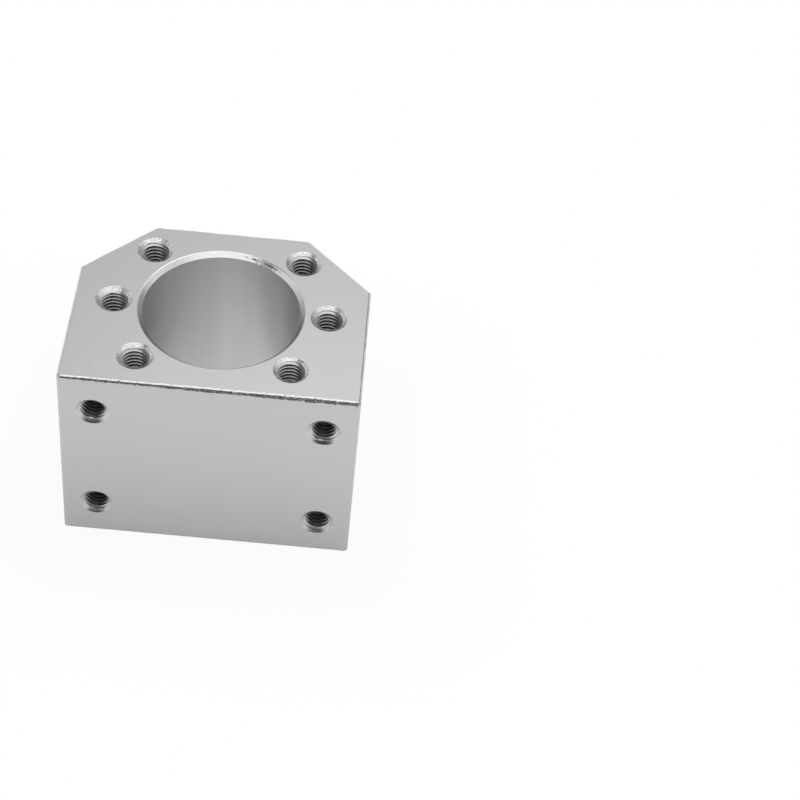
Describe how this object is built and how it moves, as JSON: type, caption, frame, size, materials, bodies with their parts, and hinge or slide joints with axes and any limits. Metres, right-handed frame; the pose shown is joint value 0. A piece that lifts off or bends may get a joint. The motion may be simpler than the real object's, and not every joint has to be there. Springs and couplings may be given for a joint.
{
  "type": "ball screw nut housing",
  "caption": "Machined aluminium block that carries a flanged ball screw nut in a chamfered through bore, with tapped holes around the bore for the nut and in one side for a moving table.",
  "frame": {"origin": "on the bore's axis, in the plain end face that the block stands on", "axes": "+Z along the bore, up to the face that the nut's flange is screwed to; -Y out of the mounting face; +X along the block's width"},
  "size_m": [0.052, 0.04, 0.04],
  "materials": {
    "housing_aluminium": "bead blasted and clear anodised, satin, with bright machined chamfers and countersinks"
  },
  "bodies": {
    "root": {"nut_housing": "housing_aluminium"}
  },
  "joints": []
}
